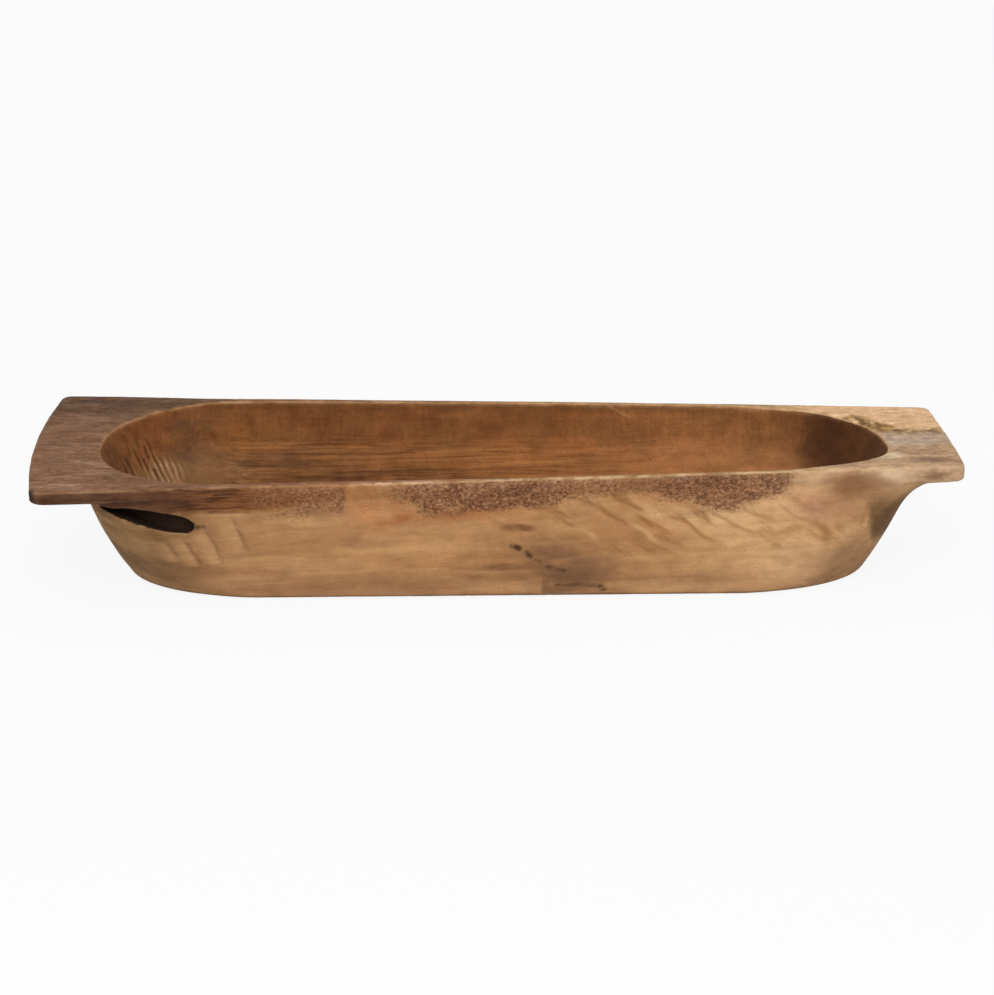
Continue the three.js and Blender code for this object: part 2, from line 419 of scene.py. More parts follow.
def bark_share():
    """1 where rough bark is left on the outside, just below the rim."""
    ragged = rough_noise(points / (22, 22, 10), 21, 4) * 7
    places, bottoms, amounts = zip(*bark_places)
    bottom = np.interp(x, places, bottoms)
    amount = np.interp(x, places, amounts)
    near = blend(z + ragged, bottom - bark_fade, bottom + bark_fade) * amount
    far_bottom = 116 + 9 * noise(points / (70, 400, 400), 22)
    far_amount = blend(noise(points / (85, 400, 400), 23), -0.4, 0.3)
    far = blend(z + ragged, far_bottom - bark_fade, far_bottom + bark_fade) * far_amount
    side = is_near * near + (1 - is_near) * far * blend(np.abs(normals[:, 0]), 0.9, 0.5)
    return side * blend(z, bark_top + 2, bark_top - 2) * is_outside


def gouge_marks():
    """Straight cuts side by side: their grooves, and where the dark and the pale ones are."""
    lean = math.radians(gouge_lean)
    seen = seen_height()
    over = x * math.sin(lean) + seen * math.cos(lean) + 1.1 * noise(points / 14, 31)
    grooves = 0.5 + 0.5 * np.sin(over / gouge_step * 2 * math.pi)
    broken = 0.3 + 0.7 * blend(noise(np.column_stack([over / 4, seen / 12, np.zeros(len(x))]), 32), -0.6, 0.1)
    dark = spot(x, seen, *dark_gouges, soft=0.4) * is_inside
    pale = spot(x, seen, *pale_gouges, soft=0.4) * is_inside
    return grooves * broken, dark, pale


def edge_chips():
    """Small bites out of the outer edges of the rim and handles."""
    bites = np.clip(rough_noise(points / (9, 9, 24), 41) - 0.3, 0, 1)
    return bites * chip_depth * blend(stands_out, 0.15, 0.5) * (1 - is_inside) * (0.3 + 0.7 * is_near)


stands_out = bulge(points, normals, edges, 8)
bark = bark_share()
chiselled, chisel_steps = chisel_marks()
grooves, dark_gouged, pale_gouged = gouge_marks()
depth = hand_made() + chiselled + grooves * np.maximum(dark_gouged, pale_gouged) * gouge_depth + edge_chips()
depth += bark * bark_depth * (0.5 + 0.5 * noise(points / 4.5, 42)) - handle_swell() - end_swell()
points = points - normals * depth[:, None]
write_points(mesh, points)
normals = read_normals(mesh)
x, y, z = points.T
stands_out = bulge(points, normals, edges, 6)


# Colours and stains

def rgb(code):
    """A colour written as in a picture, as three numbers from 0 to 1."""
    return np.array([int(code[i:i + 2], 16) / 255 for i in (1, 3, 5)])


def linear(values):
    """Picture colours as the linear ones that Blender takes."""
    return np.where(values <= 0.04045, values / 12.92, ((values + 0.055) / 1.055) ** 2.4)


def cover(colours, share, code):
    """Paints a colour over the points by their share of it."""
    return colours + (rgb(code) - colours) * np.clip(share, 0, 1)[:, None]


def patchy(size, seed, low=-0.3, high=0.4):
    """Soft patches of about this size, from 0 to 1."""
    return blend(rough_noise(points / size, seed), low, high)


def slanted(direction, length, width, seed):
    """Streaks on the side walls that run down to the right at this angle."""
    angle = math.radians(direction)
    down = x * math.cos(angle) - z * math.sin(angle)
    over = x * math.sin(angle) + z * math.cos(angle) + 5 * noise(points / 24, seed + 9)
    return rough_noise(np.column_stack([down / length, y / 60, over / width]), seed)


def along(stops):
    """Colours that change along the trough: stops is a list of (x, colour)."""
    places = [place for place, _ in stops]
    codes = np.array([rgb(code) for _, code in stops])
    return np.column_stack([np.interp(x, places, codes[:, i]) for i in range(3)])


# Near wall: (x, z), half length and height, turn, softness, colour and strength of each stain
wall_stains = [
    ((-64, 100), (66, 8), 5, 0.9, "#A5683E", 0.75),
    ((-122, 112), (30, 14), 0, 0.5, "#BC8052", 0.8),
    ((-100, 60), (130, 4), 3, 0.8, "#C89866", 0.5),
    ((-60, 22), (170, 6), 1, 0.8, "#9F7650", 0.4),
    ((36, 48), (50, 30), -20, 0.8, "#9C7049", 0.5),
    ((20, 83), (15, 4), -4, 0.7, "#7E5231", 1.0),
    ((58, 56), (24, 12), -10, 0.8, "#8B6448", 0.4),
    ((2, 37), (36, 4), 0, 0.7, "#80583B", 0.8),
    ((30, 26), (60, 4), 0, 0.7, "#9A7048", 0.6),
    ((250, 88), (60, 14), -8, 0.6, "#D8AC7C", 0.8),
    ((285, 68), (45, 20), 0, 0.7, "#D3A674", 0.6),
    ((150, 20), (90, 6), 0, 0.8, "#A57C55", 0.5),
    ((316, 42), (40, 22), 0, 0.7, "#D0A778", 0.6),
    ((128, 76), (40, 15), -25, 0.8, "#A3724A", 0.5),
    ((302, 74), (10, 4), 15, 1.0, "#96693F", 0.5),
    ((322, 68), (12, 6), -25, 1.0, "#9A6E45", 0.4),
    ((339, 66), (5, 11), 15, 1.0, "#96693F", 0.5),
    ((350, 79), (5, 10), 20, 1.0, "#96693F", 0.45),
    ((287, 56), (4, 3), 0, 0.8, "#7A5230", 0.6),
    ((330, 98), (30, 14), -10, 0.8, "#B07C5C", 0.6),
    ((356, 26), (30, 20), 0, 0.7, "#A07B55", 0.5),
    ((357, 40), (30, 8), 62, 0.9, "#8F6A49", 0.4),
    ((338, 20), (26, 8), 40, 0.9, "#94704E", 0.12),
    ((-372, 85), (22, 14), -40, 0.6, "#A07E55", 0.5),
    ((-335, 40), (30, 30), 0, 0.7, "#8A6746", 0.4),
]

# Near wall: dark marks: points in x and z, width, strength
wall_marks = [
    ([(16, 62), (22, 59)], 4.8, 0.95),
    ([(30, 54), (34, 49)], 4.0, 0.85),
    ([(39, 45), (44, 42)], 3.0, 0.35),
    ([(52, 36), (56, 35)], 3.4, 0.6),
    ([(62, 33), (69, 32)], 3.4, 0.7),
    ([(54, 25), (64, 24)], 4.0, 0.3),
    ([(62, 14), (84, 15), (106, 13)], 3.4, 0.6),
    ([(107, 12), (110, 10)], 4.6, 0.7),
    ([(-314, 90), (-304, 91)], 5.0, 0.9),
    ([(-304, 91), (-298, 92)], 3.4, 0.7),
]

# Near wall: the brown stain that stops at a sharp upright edge
stain_left = 47.0
stain_middle = (60, 28)
stain_size = (62, 30)


def wall_stain():
    """The brown stain low on the near wall."""
    fade = 2 + 22 * blend(z, 22, 40)
    place = x + 1.5 * noise(points / 8, 58) + 0.1 * (z - 20) + 0.5 * fade
    start = blend(place, stain_left - fade, stain_left + fade)
    return start * spot(x, z, stain_middle, stain_size, 0, 0.7) * patchy((22, 40, 14), 59, -1.6, 0.2)


def wall_colours():
    """The outside: tan, darker at the wide end, palest towards the narrow one."""
    colours = along([
        (-345, "#7E5D3B"), (-275, "#AD7F55"), (-120, "#B9875A"), (125, "#B98656"), (210, "#C89969"),
        (320, "#DBAE80"), (375, "#B88C60"),
    ])
    # Darker towards the bottom, where the wall turns under: painted shade.
    colours = cover(colours, 0.6 * blend(z, 50, 6), "#A67C58")
    colours = cover(colours, 0.3 * patchy((60, 40, 16), 51), "#9F754D")
    colours = cover(colours, 0.35 * patchy((90, 40, 12), 52), "#CBA070")
    ragged = 1 + 0.6 * rough_noise(points / (16, 16, 9), 53)
    for middle, size, turn, soft, code, strength in wall_stains:
        share = spot(x, z, middle, size, turn, soft) * strength * ragged
        colours = cover(colours, share * is_near, code)
    colours = cover(colours, wall_stain() * 0.85 * is_near, "#7A583F")
    fan = spot(x, z, (115, 88), (110, 34), -8, 0.5) + 0.6 * spot(x, z, (300, 84), (85, 26), -8, 0.5)
    colours = cover(colours, fan * is_near * 0.7 * blend(slanted(33, 40, 6, 54), 0.0, 0.8), "#8F5E36")
    colours = cover(colours, fan * is_near * 0.5 * blend(slanted(33, 40, 8, 55), 0.1, 0.9), "#D8AC7C")
    for path, width, strength in wall_marks:
        broken = 0.75 + 0.6 * noise(points / (4, 6, 2.5), 57)
        colours = cover(colours, stroke(x, z, path, width) * strength * broken * is_near, "#46301E")
    # Where the hull turns into the narrow end, under the narrow handle, the wall is darkened as painted
    # shade; inside that, a dark patch with a sharp left edge is stain and painted shade.
    corner = x + 0.25 * (z - 90) + 4 * noise(points / 14, 60)
    turned = blend(corner, 376, 396) * is_near
    colours = cover(colours, turned * 0.7, "#9D7A57")
    sharp = blend(corner, 378, 389) * is_near
    colours = cover(colours, sharp * blend(z, 116, 88) * blend(z, 40, 62) * 0.85, "#66482C")
    worn_edge = stroke(x, z, [(385, 94), (379, 76)], 4) * patchy((6, 6, 8), 66, -0.6, 0.4)
    colours = cover(colours, worn_edge * is_near * 0.5, "#D8B486")
    # Painted light and shade on the chisel cuts: each facet paler the deeper it is cut, and a dark line of
    # painted shade along its step.
    colours = cover(colours, chiselled / chisel_depth * 0.75, "#C79A6B")
    colours = cover(colours, chisel_steps * 0.32 * patchy((6, 6, 8), 67, -1.2, 0.2), "#7A5532")
    # Dark brown on the underside and the wall's lowest few millimetres; along the wall's bottom edge, where
    # it turns under, this is painted shade.
    return cover(colours, 0.8 * blend(z, 6, 1.5), "#6B4E36")


# Upright edge of the rim: (x, z), half sizes, softness, colour and strength of each plain stain
rim_side_stains = [
    ((312, 128), (28, 5), 0.7, "#D2AE88", 0.5),
    ((404, 131), (14, 6), 0.6, "#E0C29C", 0.7),
    ((390, 120), (16, 7), 0.7, "#8F674A", 0.6),
]


def rim_side_share():
    """1 on the upright edge of the rim and handles, above the walls."""
    # From the wide end to x -290 this side reaches down below the handle, and the dark tones there are
    # painted shade under the handle.
    lowest = np.interp(x, [-400, -290, -230, -190, -150], [110, 107, 109, 116, 119])
    return blend(z + 2 * noise(points / (9, 9, 5), 64), lowest - 3, lowest + 5) * is_outside


def rim_side_colours(colours):
    """The upright edge of the rim and handles above the walls."""
    upright = rim_side_share()
    # Dark brown at the wide end: the handle's own colour on its upright edge, and painted shade on the strip
    # below the handle.
    tones = along([
        (-480, "#4E3120"), (-400, "#523424"), (-330, "#603D27"), (-290, "#7A4B2C"), (-240, "#885631"),
        (-150, "#A97548"), (150, "#A8784D"), (190, "#956849"), (300, "#BC9165"), (400, "#C2A07E"),
    ])
    tones = cover(tones, blend(x, -240, -300) * patchy((18, 20, 5), 65) * 0.3, "#7A543C")
    mottled = spot(x, z, (352, 124), (16, 10), 0, 0.8) * patchy((9, 9, 6), 62, -0.8, 0.3)
    tones = cover(tones, mottled * 0.7, "#A07258")
    for middle, size, soft, code, strength in rim_side_stains:
        tones = cover(tones, spot(x, z, middle, size, 0, soft) * strength, code)
    handle_end = spot(x, z, (452, 128), (20, 6), 0, 0.8) * patchy((7, 9, 3), 61, -0.9, 0.5)
    tones = cover(tones, handle_end * 0.55, "#75523A")
    return colours + (tones - colours) * upright[:, None]


def end_stain(colours):
    """The brown wall where the narrow handle begins."""
    share = spot(x, z, (364, 118), (24, 15), 0, 0.8) * is_near * is_outside
    return cover(colours, share * patchy((9, 9, 9), 68, -1.8, -0.2), "#87603F")


def streaked_share():
    """How much of the rim's side is covered by thin dark streaks: most above the undercut's end."""
    amount = np.interp(x, [-480, -340, -310, -262, -232], [0.35, 0.45, 0.95, 0.95, 0.0])
    return amount * rim_side_share() * is_near


# Narrow handle: the yellow-brown line across its top in x and y, and where the grey-brown below it ends
handle_line = [(388, 62), (396, 50), (405, 36), (424, 16), (450, 10), (480, 12)]
handle_border = [(380, 44), (394, 46), (403, 35), (422, 17), (448, 12), (480, 14)]

# Narrow handle's top: (x, y), half sizes, turn, softness, colour and strength of each stain
handle_stains = [
    ((432, -12), (84, 24), 6, 0.5, "#C2AA96", 0.7),
    ((408, -68), (14, 11), 0, 0.6, "#E2C6A2", 0.9),
    ((452, -84), (18, 9), 0, 0.6, "#7C5E48", 0.6),
]


def top_colours():
    """The flat top: grey-brown at the wide handle, pale and banded at the narrow one."""
    colours = along([
        (-400, "#865F43"), (-150, "#8F6143"), (60, "#A0764F"), (250, "#AE865B"), (400, "#C29F7A"),
    ])
    colours = cover(colours, blend(y, 30, 130) * blend(x, -250, -330), "#5F422C")
    colours = cover(colours, 0.35 * patchy((40, 9, 20), 73), "#A5806A")
    colours = cover(colours, 0.35 * patchy((30, 7, 20), 75) * blend(x, 100, -100), "#65472F")
    ragged = rough_noise(points / (9, 12, 20), 71) * 5
    border = np.interp(x, *zip(*handle_border))
    colours = cover(colours, blend(y + ragged - border, -6, 6) * blend(x, 290, 360), "#E6BB8E")
    yellow = stroke(x, y + ragged, handle_line, 19) * patchy((9, 12, 9), 76, -0.9, 0.1)
    colours = cover(colours, yellow * 0.8, "#A68048")
    brown = stroke(x, y + ragged, handle_line, 15) * patchy((5, 9, 9), 74, -0.4, 0.4)
    colours = cover(colours, brown * 0.8, "#6A4A2A")
    for middle, size, turn, soft, code, strength in handle_stains:
        colours = cover(colours, spot(x, y, middle, size, turn, soft) * strength, code)
    far_corner = spot(x, y, (-432, 146), (30, 9), 0, 0.6) * patchy((12, 5, 9), 72)
    colours = cover(colours, far_corner * 0.8, "#4E392B")
    near_corner = spot(x, y, (-446, -146), (30, 9), 0, 0.6) * patchy((14, 3, 9), 77)
    colours = cover(colours, near_corner * 0.6, "#C2A284")
    return cover(colours, stroke(x, y, [(-432, -66), (-404, -84), (-380, -84)], 4) * 0.4, "#C2A284")


# Upper part of the hollow: (x, seen height), half sizes, turn, softness, colour and strength of each stain
hollow_stains = [
    ((-398, 122), (18, 26), 0, 0.5, "#5F3D22", 0.6),
    ((-375, 140), (26, 22), 0, 0.6, "#7E4A2A", 0.6),
    ((-322, 144), (30, 20), 0, 0.6, "#66462F", 0.7),
    ((-322, 120), (26, 9), 0, 0.7, "#5A3B2A", 0.65),
    ((-262, 134), (42, 22), 0, 0.7, "#8E5729", 0.7),
    ((-300, 104), (34, 16), 0, 0.7, "#8A6548", 0.6),
    ((-232, 110), (26, 12), 0, 0.7, "#6E4A33", 0.5),
    ((-100, 92), (90, 7), 0, 0.7, "#5E3B22", 0.5),
]


def hollow_colours():
    """The hollow: dark red-brown above, redder at the wide end, darkest at the narrow end."""
    seen = seen_height()
    upper = along([
        (-400, "#844B25"), (-268, "#7D4C26"), (-105, "#784622"), (58, "#87512A"), (221, "#A36A3D"),
        (320, "#84542D"),
    ])
    lower = along([
        (-310, "#825D3B"), (-214, "#774C2D"), (-105, "#8A572F"), (58, "#9A6135"), (221, "#AC7346"),
    ])
    colours = upper + (lower - upper) * blend(z, 106, 88)[:, None]
    for middle, size, turn, soft, code, strength in hollow_stains:
        ragged = 1 + 0.5 * rough_noise(points / (14, 14, 10), 82)
        colours = cover(colours, spot(x, seen, middle, size, turn, soft) * strength * ragged, code)
    colours = cover(colours, 0.22 * patchy((9, 14, 30), 81) * blend(z, 88, 108), "#653D1D")
    colours = cover(colours, 0.25 * patchy((16, 16, 12), 83), "#A66D3E")
    colours = cover(colours, 0.3 * patchy((40, 30, 14), 86), "#80582F")
    colours = cover(colours, blend(z, 124, 135) * blend(np.abs(x + 40), 360, 250) * 0.35, "#5A3819")
    colours = cover(colours, stroke(x, seen, [(128, 167), (150, 155)], 2.2) * 0.5, "#B4855C")
    # The narrow end of the hollow darkened, more at its very end: stain and painted shade.
    colours = cover(colours, blend(x + 7 * noise(points / 16, 84), 306, 366), "#4B2B15")
    return cover(colours, blend(x + 3 * noise(points / 10, 85), 368, 382) * 0.35, "#6B4522")


def edge_band(share):
    """1 along the border of a part of the surface, fading out to both sides."""
    soft = relaxed(share[:, None], edges, 5)[:, 0]
    return np.clip(4 * soft * (1 - soft), 0, 1)


lip = edge_band(is_inside)
rim_edge = edge_band(is_top) * (1 - lip) * is_near


# How much the lip of the hollow and the rim's outer edge are rubbed pale: (x, share)
lip_wear_places = [(-420, 0.4), (-350, 0.5), (-300, 0.8), (-220, 0.5), (-100, 0.25)]
edge_wear_places = [
    (-480, 0.1), (-150, 0.3), (-125, 0.9), (-85, 0.8), (-40, 0.4), (50, 0.9), (375, 0.9), (480, 0.3),
]


def surface_colours():
    """Every point's own colour before the grain."""
    outer = end_stain(rim_side_colours(wall_colours()))
    colours = outer * is_outside[:, None]
    colours += top_colours() * is_top[:, None]
    colours += hollow_colours() * is_inside[:, None]
    colours = cover(colours, blend(grooves, 0.4, 0.9) * dark_gouged * 0.75, "#452A18")
    colours = cover(colours, blend(grooves, 0.35, 0.05) * pale_gouged * 0.7, "#C09A78")
    lip_wear = np.interp(x, *zip(*lip_wear_places)) * patchy((16, 10, 10), 93, -0.9, 0.2)
    colours = cover(colours, lip * lip_wear, "#C59D72")
    edge_wear = np.interp(x, *zip(*edge_wear_places))
    return cover(colours, rim_edge * edge_wear * patchy((9, 6, 6), 92, -0.5, 0.3), "#D8B48A")


def pocket_shade_and_burn_share():
    """1 in the undercut, with a ragged border, where the near-black is painted shade over dark dirt, and on
    the wide handle's near corner, where it is a burn mark.
    """
    spread = relaxed(in_pocket[:, None], edges, 6)[:, 0] + 0.16 * rough_noise(points / (7, 7, 4), 69)
    corner = spot(x, y, (-476, -166), (11, 12), 0, 0.4)
    return np.maximum(np.maximum(in_pocket, blend(spread, 0.22, 0.4) * is_outside), corner)


def store(name, values):
    """Keeps one number per point under a name that the material reads."""
    kept = mesh.attributes.new(name, "FLOAT", "POINT")
    kept.data.foreach_set("value", values.astype(np.float32))


def store_colours(name, colours):
    """Keeps one linear colour per point under a name that the material reads."""
    kept = mesh.attributes.new(name, "FLOAT_COLOR", "POINT")
    full = np.column_stack([linear(np.clip(colours, 0, 1)), np.ones(len(colours))])
    kept.data.foreach_set("color", full.astype(np.float32).ravel())


def worn_share():
    """1 where an edge is rubbed pale, least at the wide handle."""
    along_rim = np.interp(x, [-480, -250, -130, 60, 350, 480], [0.1, 0.15, 0.5, 0.6, 0.7, 0.4])
    return np.clip(stands_out / 0.5, 0, 1) * along_rim


def flecked_share():
    """1 where small pale flecks lie: the hollow's upper wall and the front of the wide handle."""
    seen = seen_height()
    wall = spot(x, seen, (150, 138), (120, 20), 0, 0.6) * is_inside
    handle = spot(x, y, (-420, -110), (70, 60), 0, 0.6) * is_top
    return np.maximum(wall, handle * 0.8)


store_colours("tint", surface_colours())
store("top", is_top)
store("inside", is_inside)
store("bark", bark)
store("pocket_shade_and_burn", pocket_shade_and_burn_share())
store("streaked", streaked_share())
store("worn", worn_share())
# Painted shade in the outside's creases: how far each point sinks below the surface round it.
store("crease_shade", np.clip(-stands_out / 0.5, 0, 1) * is_outside)
store("crossed", is_inside * blend(z, 84, 108) * patchy((60, 60, 60), 91, -0.6, 0.2))
store("lined", is_inside * blend(z, 108, 92) * blend(x, 260, 0) * blend(x, -310, -260))
store("flecked", flecked_share())

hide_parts("trough_body")
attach(trough, "root")


# Wood material

class Shading:
    """Short ways to add the nodes of one material."""

    def __init__(self, name):
        self.material = bpy.data.materials.new(name)
        self.material.use_nodes = True
        self.tree = self.material.node_tree
        self.shader = self.tree.nodes["Principled BSDF"]
        self.place = self.tree.nodes.new("ShaderNodeTexCoord").outputs["Object"]

    def feed(self, socket, value):
        """Sets a socket to a plain value, or links it to another node's output."""
        if isinstance(value, bpy.types.NodeSocket):
            self.tree.links.new(value, socket)
        else:
            socket.default_value = value

    def stored(self, name, output="Fac"):
        """A number or colour kept on the mesh's points."""
        node = self.tree.nodes.new("ShaderNodeAttribute")
        node.attribute_name = name
        return node.outputs[output]

    def maths(self, operation, first, second, clamp=False):
        """One sum of two values."""
        node = self.tree.nodes.new("ShaderNodeMath")
        node.operation = operation
        node.use_clamp = clamp
        self.feed(node.inputs[0], first)
        self.feed(node.inputs[1], second)
        return node.outputs[0]

    def add_up(self, *parts):
        """The sum of values, each times its own weight."""
        total = self.maths("MULTIPLY", *parts[0])
        for part in parts[1:]:
            total = self.maths("ADD", total, self.maths("MULTIPLY", *part))
        return total

    def around(self, *parts):
        """A value around 0.5 that swings with noises, each by its own weight."""
        total = self.add_up(*parts)
        return self.maths("ADD", total, 0.5 - 0.5 * sum(weight for _, weight in parts))

    def mix_values(self, share, first, second):
        """Mixes two numbers by a share."""
        node = self.tree.nodes.new("ShaderNodeMix")
        self.feed(node.inputs[0], share)
        self.feed(node.inputs[2], first)
        self.feed(node.inputs[3], second)
        return node.outputs[0]

    def noise(self, size, detail=4.0, rough=0.55, bend=0.0, lean=0.0):
        """Noise whose patches are this long along x, y and z, in millimetres."""
        mapping = self.tree.nodes.new("ShaderNodeMapping")
        mapping.vector_type = "TEXTURE"
        self.feed(mapping.inputs["Vector"], self.place)
        mapping.inputs["Scale"].default_value = [length * MM for length in size]
        mapping.inputs["Rotation"].default_value = (0, math.radians(lean), 0)
        node = self.tree.nodes.new("ShaderNodeTexNoise")
        self.feed(node.inputs["Vector"], mapping.outputs[0])
        node.inputs["Scale"].default_value = 1.0
        node.inputs["Detail"].default_value = detail
        node.inputs["Roughness"].default_value = rough
        node.inputs["Distortion"].default_value = bend
        return node.outputs["Fac"]

    def rings(self, step, pith, bend):
        """Growth rings round the log's middle line, which runs along x at this height in millimetres."""
        mapping = self.tree.nodes.new("ShaderNodeMapping")
        self.feed(mapping.inputs["Vector"], self.place)
        mapping.inputs["Location"].default_value = (0, 0, -pith * MM)
        node = self.tree.nodes.new("ShaderNodeTexWave")
        node.wave_type = "RINGS"
        node.rings_direction = "X"
        self.feed(node.inputs["Vector"], mapping.outputs[0])
        node.inputs["Scale"].default_value = 2 * math.pi / (20 * step * MM)
        node.inputs["Distortion"].default_value = bend
        node.inputs["Detail"].default_value = 3.0
        node.inputs["Detail Scale"].default_value = 0.12
        return node.outputs["Fac"]

    def spread(self, value, start, end, low=0.0, high=1.0):
        """Stretches a value's range from start and end to low and high."""
        node = self.tree.nodes.new("ShaderNodeMapRange")
        self.feed(node.inputs["Value"], value)
        node.inputs["From Min"].default_value = start
        node.inputs["From Max"].default_value = end
        node.inputs["To Min"].default_value = low
        node.inputs["To Max"].default_value = high
        return node.outputs[0]

    def colours(self, value, stops):
        """Turns a value into colours: stops is a list of (place, colour)."""
        node = self.tree.nodes.new("ShaderNodeValToRGB")
        self.feed(node.inputs[0], value)
        ramp = node.color_ramp
        while len(ramp.elements) < len(stops):
            ramp.elements.new(0.5)
        for element, (place, colour) in zip(ramp.elements, stops):
            element.position = place
            element.color = (*colour, 1.0)
        return node.outputs[0]

    def mix(self, share, first, second, way="MIX"):
        """Mixes two colours by a share."""
        node = self.tree.nodes.new("ShaderNodeMix")
        node.data_type = "RGBA"
        node.blend_type = way
        self.feed(node.inputs[0], share)
        self.feed(node.inputs[6], first)
        self.feed(node.inputs[7], second)
        return node.outputs[2]

    def bump(self, height, depth, under=None):
        """Bumps this deep, in millimetres, on top of others."""
        node = self.tree.nodes.new("ShaderNodeBump")
        self.feed(node.inputs["Height"], height)
        node.inputs["Distance"].default_value = depth * MM
        if under is not None:
            self.feed(node.inputs["Normal"], under)
        return node.outputs[0]


def paint(code):
    """A picture colour for a colour socket."""
    return (*linear(rgb(code)), 1.0)


# The grain multiplies the painted colours by something between these two, and by 1 halfway
grain_dark = (0.42, 0.38, 0.35, 1.0)
grain_pale = (1.58, 1.62, 1.65, 1.0)


def wood_material():
    """Old hand-worked wood: grain along x, stained hollow, bark left below the rim."""
    w = Shading("wood")
    tint = w.stored("tint", "Color")
    top, inside = w.stored("top"), w.stored("inside")
    bark, pocket_shade_and_burn = w.stored("bark"), w.stored("pocket_shade_and_burn")
    worn, crease_shade = w.stored("worn"), w.stored("crease_shade")
    crossed, lined, streaked = w.stored("crossed"), w.stored("lined"), w.stored("streaked")

    fibre = w.noise((38, 2.1, 2.1), 6, 0.7, 0.4)
    dash = w.noise((15, 6, 3), 5, 0.75, 0.3)
    thread = w.noise((7, 4, 1.6), 4, 0.7, 0.2)
    band = w.noise((220, 13, 13), 5, 0.6, 0.6)
    line = w.noise((130, 3.6, 3.6), 5, 0.62, 0.5)
    streak = w.noise((42, 30, 2.6), 5, 0.65, 0.4)
    flow = w.noise((150, 40, 11), 5, 0.6, 1.2, lean=-4)
    cross = w.noise((3.4, 30, 30), 5, 0.7, 0.3)
    mottle = w.noise((25, 17, 17), 6, 0.62)
    speck = w.noise((3.8, 3.2, 2.8), 5, 0.8)
    rings = w.rings(6.0, 190, 5.0)

    outer = w.around((flow, 0.4), (band, 0.25), (mottle, 0.7), (fibre, 0.2), (speck, 0.15), (rings, 0.015))
    inner = w.around((band, 0.5), (mottle, 0.7), (fibre, 0.35), (speck, 0.6))
    inner = w.maths("ADD", inner, w.maths("MULTIPLY", crossed, w.spread(cross, 0.0, 1.0, -0.3, 0.3)))
    inner = w.maths("ADD", inner, w.maths("MULTIPLY", lined, w.spread(line, 0.0, 1.0, -1.1, 1.1)))
    flat = w.around((dash, 1.3), (thread, 1.0), (mottle, 0.6), (band, 0.4), (rings, 0.04))
    value = w.mix_values(top, w.mix_values(inside, outer, inner), flat)
    colour = w.mix(1.0, tint, w.mix(value, grain_dark, grain_pale), way="MULTIPLY")

    streaks = w.maths("MULTIPLY", w.spread(streak, 0.48, 0.56), w.maths("MULTIPLY", streaked, 0.85))
    colour = w.mix(streaks, colour, paint("#3D2010"))
    rough = w.around((speck, -1.0), (mottle, 0.8), (line, 0.4))
    bark_on = w.spread(w.maths("ADD", w.maths("MULTIPLY", bark, 0.9), rough), 0.6, 1.15)
    bark_colour = w.colours(w.around((speck, 2.0), (mottle, 0.4), (line, 0.3)), [
        (0.25, linear(rgb("#472B1C"))), (0.5, linear(rgb("#7A5038"))), (0.78, linear(rgb("#B8875F"))),
    ])
    colour = w.mix(w.maths("MULTIPLY", bark_on, 0.9), colour, bark_colour)
    flecks = w.spread(w.mix_values(top, speck, thread), 0.6, 0.72)
    flecked = w.maths("MULTIPLY", flecks, w.maths("MULTIPLY", w.stored("flecked"), 0.6))
    colour = w.mix(flecked, colour, paint("#BE8F66"))
    dots = w.maths("MULTIPLY", w.spread(w.noise((5, 5, 4), 3, 0.6), 0.34, 0.26), inside)
    colour = w.mix(w.maths("MULTIPLY", dots, 0.55), colour, paint("#472713"))
    edge = w.maths("MULTIPLY", worn, w.spread(w.around((mottle, 1.6), (fibre, 0.6)), 0.3, 0.7))
    colour = w.mix(w.maths("MULTIPLY", edge, 0.75, clamp=True), colour, paint("#D9B68C"))
    # Creases on the outside darkened: painted shade.
    colour = w.mix(w.maths("MULTIPLY", crease_shade, 0.3), colour, paint("#4A3020"))
    # Near-black: painted shade over dark dirt in the undercut, and a burn mark on the wide handle's near
    # corner.
    colour = w.mix(w.maths("MULTIPLY", pocket_shade_and_burn, 0.95), colour, paint("#1F1410"))
    w.feed(w.shader.inputs["Base Color"], colour)
    w.feed(w.shader.inputs["Roughness"], w.spread(flat, 0.2, 0.8, 0.88, 0.66))
    w.shader.inputs["Specular IOR Level"].default_value = 0.12
    bumps = w.bump(fibre, 0.5)
    bumps = w.bump(mottle, 0.6, bumps)
    bumps = w.bump(w.maths("MULTIPLY", speck, bark), 1.0, bumps)
    w.feed(w.shader.inputs["Normal"], bumps)
    return w.material


mesh.materials.clear()
mesh.materials.append(wood_material())


# Floor

floor_size = 60000.0
floor_glow = 0.9


def seen_share(nodes, links):
    """1 for a ray that the camera sees, straight or by way of a shiny or clear surface."""
    path = nodes.new("ShaderNodeLightPath")
    total = path.outputs["Is Camera Ray"]
    for name in ("Is Glossy Ray", "Is Transmission Ray"):
        both = nodes.new("ShaderNodeMath")
        both.operation = "MAXIMUM"
        links.new(total, both.inputs[0])
        links.new(path.outputs[name], both.inputs[1])
        total = both.outputs[0]
    return total


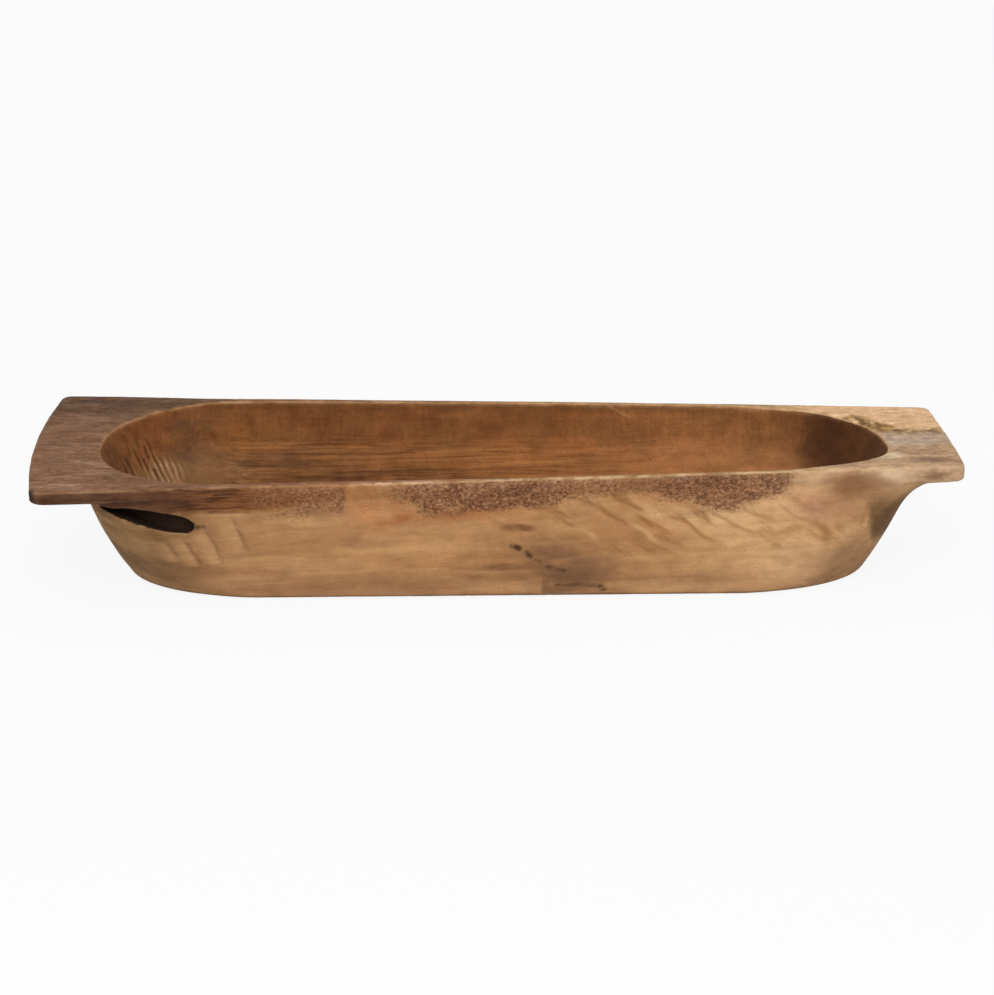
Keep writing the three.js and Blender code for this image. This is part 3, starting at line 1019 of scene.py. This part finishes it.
def floor():
    """A wide pale floor that keeps the trough's shadow."""
    half = floor_size / 2 * MM
    sheet = bpy.data.meshes.new("floor")
    corners = [(-half, -half, 0), (half, -half, 0), (half, half, 0), (-half, half, 0)]
    sheet.from_pydata(corners, [], [(0, 1, 2, 3)])
    piece = bpy.data.objects.new("floor", sheet)
    bpy.context.scene.collection.objects.link(piece)
    material = bpy.data.materials.new("floor")
    material.use_nodes = True
    nodes, links = material.node_tree.nodes, material.node_tree.links
    plain = nodes["Principled BSDF"]
    plain.inputs["Base Color"].default_value = paint("#E8E8E8")
    plain.inputs["Roughness"].default_value = 0.9
    glow = nodes.new("ShaderNodeEmission")
    glow.inputs["Color"].default_value = (1, 1, 1, 1)
    glow.inputs["Strength"].default_value = 1.0
    share = nodes.new("ShaderNodeMath")
    share.operation = "MULTIPLY"
    share.inputs[1].default_value = floor_glow
    mix = nodes.new("ShaderNodeMixShader")
    links.new(seen_share(nodes, links), share.inputs[0])
    links.new(share.outputs[0], mix.inputs["Fac"])
    links.new(plain.outputs[0], mix.inputs[1])
    links.new(glow.outputs[0], mix.inputs[2])
    links.new(mix.outputs[0], nodes["Material Output"].inputs["Surface"])
    sheet.materials.append(material)


floor()


# Light

# Key lamp: its place and size in millimetres and its power in watts. Even light: its strength.
key_place = (-300, -2900, 2400)
key_size = 1600
key_power = 60
even_strength = 0.6


def lamp(name, place, size, power):
    """A square soft lamp aimed at the trough."""
    light = bpy.data.lights.new(name, "AREA")
    light.shape = "SQUARE"
    light.size = size * MM
    light.energy = power
    holder = bpy.data.objects.new(name, light)
    holder.location = Vector(place) * MM
    holder.rotation_euler = (Vector(camera_aim) * MM - holder.location).to_track_quat("-Z", "Y").to_euler()
    bpy.context.scene.collection.objects.link(holder)


lamp("key_lamp", key_place, key_size, key_power)


def world_light(strength):
    """Even light from all round, and a white background for the camera."""
    world = bpy.data.worlds.new("studio")
    world.use_nodes = True
    bpy.context.scene.world = world
    nodes, links = world.node_tree.nodes, world.node_tree.links
    even = nodes["Background"]
    even.inputs["Color"].default_value = (1, 1, 1, 1)
    even.inputs["Strength"].default_value = strength
    white = nodes.new("ShaderNodeBackground")
    white.inputs["Color"].default_value = (1, 1, 1, 1)
    white.inputs["Strength"].default_value = 1.0
    mix = nodes.new("ShaderNodeMixShader")
    links.new(seen_share(nodes, links), mix.inputs["Fac"])
    links.new(even.outputs[0], mix.inputs[1])
    links.new(white.outputs[0], mix.inputs[2])
    links.new(mix.outputs[0], nodes["World Output"].inputs["Surface"])


world_light(even_strength)


def camera():
    """The camera at the photograph's viewing angle."""
    turn = math.radians(camera_turn)
    rise = math.radians(camera_elevation)
    away = Vector((
        math.sin(turn) * math.cos(rise),
        -math.cos(turn) * math.cos(rise),
        math.sin(rise),
    ))
    lens = bpy.data.cameras.new("camera")
    lens.sensor_fit = "VERTICAL"
    lens.sensor_height = sensor_height
    lens.lens = pixels_per_mm * camera_distance * sensor_height / frame_height_pixels
    lens.clip_end = 100.0
    holder = bpy.data.objects.new("camera", lens)
    holder.location = (Vector(camera_aim) + away * camera_distance) * MM
    holder.rotation_euler = (-away).to_track_quat("-Z", "Y").to_euler()
    bpy.context.scene.collection.objects.link(holder)
    bpy.context.scene.camera = holder


camera()
bpy.context.scene.view_settings.view_transform = "Standard"
